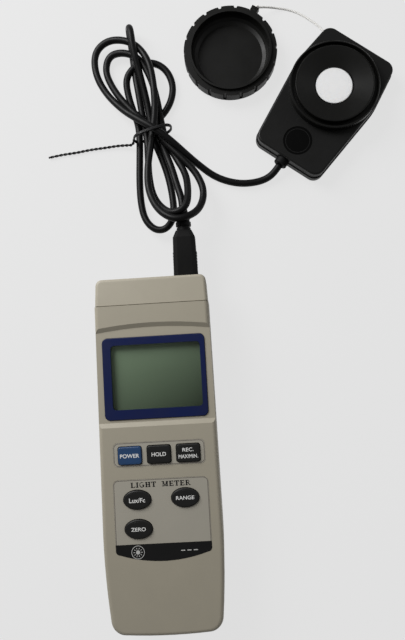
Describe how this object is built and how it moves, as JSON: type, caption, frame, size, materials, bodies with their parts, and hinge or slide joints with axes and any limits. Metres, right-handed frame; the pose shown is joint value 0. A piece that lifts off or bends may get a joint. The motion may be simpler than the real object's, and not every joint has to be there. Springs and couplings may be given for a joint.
{
  "type": "handheld light meter",
  "caption": "Slab-shaped handheld light meter with a display and keys, joined by a plug and tied-up cord to a flat sensor head with a domed ring, its round cap lying beside it on a string.",
  "frame": {"origin": "mouth of the tripod thread, in the middle of the meter's flat back, which lies on the table", "axes": "+X across the meter, +Y along it towards the probe plug, +Z out of the key face"},
  "size_m": [0.2121, 0.3588, 0.0312],
  "materials": {
    "case": "fine moulded texture",
    "label_film": "printed film",
    "band_film": "printed film",
    "bezel": "satin",
    "clear_window": "polished",
    "display": "polished",
    "frame_plastic": "moulded",
    "strip_rubber": "matte",
    "board": "solder mask",
    "screw_steel": "plated",
    "board_parts": "moulded",
    "power_key": "matte",
    "dark_key": "matte",
    "battery": "printed can",
    "foam": "open cell",
    "brass": "machined",
    "socket_plastic": "moulded",
    "plug_metal": "plated",
    "plug_plastic": "moulded",
    "black_rubber": "matte",
    "cord": "satin jacket",
    "cord_bundle": "loose bundle",
    "tie": "satin",
    "string": "twisted thread",
    "sensor_plastic": "fine moulded texture",
    "sensor_ring": "satin",
    "badge": "printed film",
    "diffuser": "opal",
    "filter_glass": "polished",
    "photodiode": "polished",
    "cap_plastic": "satin"
  },
  "bodies": {
    "meter": {"front_shell": "case", "rear_shell": "case", "end_cap": "case", "upper_label": "label_film", "lower_label": "label_film", "label_band": "band_film", "display_bezel": "bezel", "display_window": "clear_window", "display_glass": "display", "display_frame": "frame_plastic", "contact_strips": "strip_rubber", "main_board": "board", "board_screws": "screw_steel", "board_parts": "board_parts", "key_switches": "board_parts", "battery": "battery", "battery_snap": "frame_plastic", "battery_foam": "foam", "tripod_nut": "brass", "case_screws": "screw_steel", "socket_shell": "socket_plastic", "socket_core": "socket_plastic"},
    "key_power": {"key_power": "power_key"},
    "key_hold": {"key_hold": "dark_key"},
    "key_record": {"key_record": "dark_key"},
    "key_unit": {"key_unit": "dark_key"},
    "key_range": {"key_range": "dark_key"},
    "key_zero": {"key_zero": "dark_key"},
    "battery_door": {"battery_cover": "case", "cover_screw": "screw_steel"},
    "stand": {"stand": "case"},
    "probe": {"plug_housing": "plug_plastic", "plug_barrel": "plug_metal", "plug_insert": "socket_plastic", "plug_pins": "brass", "plug_relief": "black_rubber", "cord_hank": "cord_bundle", "cord_lead": "cord", "twist_tie": "tie", "cap_string": "string", "sensor_bottom": "sensor_plastic", "sensor_top": "sensor_plastic", "sensor_screws": "screw_steel", "sensor_badge": "badge", "cable_gland": "black_rubber", "sensor_collar": "sensor_ring", "sensor_board": "board", "photodiode": "photodiode", "sensor_filter": "filter_glass", "sensor_diffuser": "diffuser"},
    "cap": {"sensor_cap": "cap_plastic"}
  },
  "joints": [
    {"name": "probe_unplug", "type": "slide", "parent": "meter", "child": "probe", "axis": [0, 1, 0], "range_m": [0, 0.012]},
    {"name": "battery_cover_swing", "type": "hinge", "parent": "meter", "child": "battery_door", "pos_m": [0, -0.0888, 0], "axis": [-1, 0, 0], "range_deg": [0, 70]},
    {"name": "stand_fold", "type": "hinge", "parent": "meter", "child": "stand", "pos_m": [0, 0.058, 0.0015], "axis": [1, 0, 0], "range_deg": [0, 60]},
    {"name": "cap_close", "type": "hinge", "parent": "probe", "child": "cap", "pos_m": [0.08315, 0.2218, 0.0123], "axis": [0.4393, 0.8983, 0], "range_deg": [0, 180]},
    {"name": "key_power_press", "type": "slide", "parent": "meter", "child": "key_power", "axis": [0, 0, -1], "range_m": [0, 0.001], "stiffness_N_per_m": 900},
    {"name": "key_hold_press", "type": "slide", "parent": "meter", "child": "key_hold", "axis": [0, 0, -1], "range_m": [0, 0.001], "stiffness_N_per_m": 900},
    {"name": "key_record_press", "type": "slide", "parent": "meter", "child": "key_record", "axis": [0, 0, -1], "range_m": [0, 0.001], "stiffness_N_per_m": 900},
    {"name": "key_unit_press", "type": "slide", "parent": "meter", "child": "key_unit", "axis": [0, 0, -1], "range_m": [0, 0.001], "stiffness_N_per_m": 900},
    {"name": "key_range_press", "type": "slide", "parent": "meter", "child": "key_range", "axis": [0, 0, -1], "range_m": [0, 0.001], "stiffness_N_per_m": 900},
    {"name": "key_zero_press", "type": "slide", "parent": "meter", "child": "key_zero", "axis": [0, 0, -1], "range_m": [0, 0.001], "stiffness_N_per_m": 900}
  ]
}
